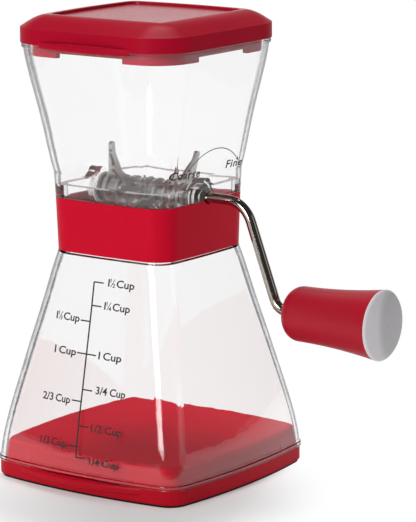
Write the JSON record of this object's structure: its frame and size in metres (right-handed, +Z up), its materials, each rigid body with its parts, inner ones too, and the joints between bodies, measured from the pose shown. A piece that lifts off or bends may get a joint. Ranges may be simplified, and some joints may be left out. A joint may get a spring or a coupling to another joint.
{
  "type": "crank nut mill",
  "caption": "Hand-cranked nut mill: a clear flared hopper with a lid, a tined rotor between steel combs, and a clear square jar on a non-slip base lid.",
  "frame": {"origin": "centre of the square foot, on the table, where the mill's vertical axis meets it", "axes": "+Z up along the mill's vertical axis, +X along the crank shaft out of the wall that the crank leaves, -Y the front with the scale and the pull lips"},
  "size_m": [0.1664, 0.1035, 0.1911],
  "materials": {
    "red_plastic": "moulded, satin, deep red",
    "clear_plastic": "moulded, clear, glossy",
    "grip_red": "moulded, fine satin, deep red",
    "cap_grey": "moulded, satin, mid grey",
    "rod_steel": "polished stainless rod",
    "mill_steel": "stamped and turned stainless steel",
    "bush_plastic": "natural white bearing plastic",
    "pad_rubber": "soft black rubber"
  },
  "bodies": {
    "base": {"non_slip_pad": "pad_rubber", "base_lid": "red_plastic"},
    "jar": {"jar": "clear_plastic"},
    "mill": {"mill_housing": "red_plastic", "hopper": "clear_plastic", "coarse_comb": "mill_steel", "fine_comb": "mill_steel", "comb_screws": "mill_steel", "drive_bush": "bush_plastic", "idle_bush": "bush_plastic"},
    "lid": {"top_lid": "red_plastic"},
    "crank": {"crank_rod": "rod_steel", "tine_plate_1": "mill_steel", "tine_plate_2": "mill_steel", "tine_plate_3": "mill_steel", "tine_plate_4": "mill_steel", "tine_plate_5": "mill_steel", "tine_plate_6": "mill_steel", "tine_plate_7": "mill_steel", "spacer_1": "mill_steel", "spacer_2": "mill_steel", "spacer_3": "mill_steel", "spacer_4": "mill_steel", "spacer_5": "mill_steel", "spacer_6": "mill_steel", "spacer_7": "mill_steel", "spacer_8": "mill_steel", "retaining_clip": "mill_steel", "thrust_washers": "mill_steel", "grip_nut": "mill_steel"},
    "grip": {"grip_body": "grip_red", "grip_cap": "cap_grey"}
  },
  "joints": [
    {"name": "jar_lift", "type": "slide", "parent": "base", "child": "jar", "axis": [0, 0, 1], "range_m": [0, 0.03]},
    {"name": "mill_lift", "type": "slide", "parent": "jar", "child": "mill", "axis": [0, 0, 1], "range_m": [0, 0.045]},
    {"name": "lid_lift", "type": "slide", "parent": "mill", "child": "lid", "axis": [0, 0, 1], "range_m": [0, 0.03]},
    {"name": "crank_spin", "type": "hinge", "parent": "mill", "child": "crank", "pos_m": [0, 0, 0.1175], "axis": [1, 0, 0], "continuous": true},
    {"name": "grip_spin", "type": "hinge", "parent": "crank", "child": "grip", "pos_m": [0.09, 0, 0.075], "axis": [1, 0, 0], "continuous": true}
  ]
}
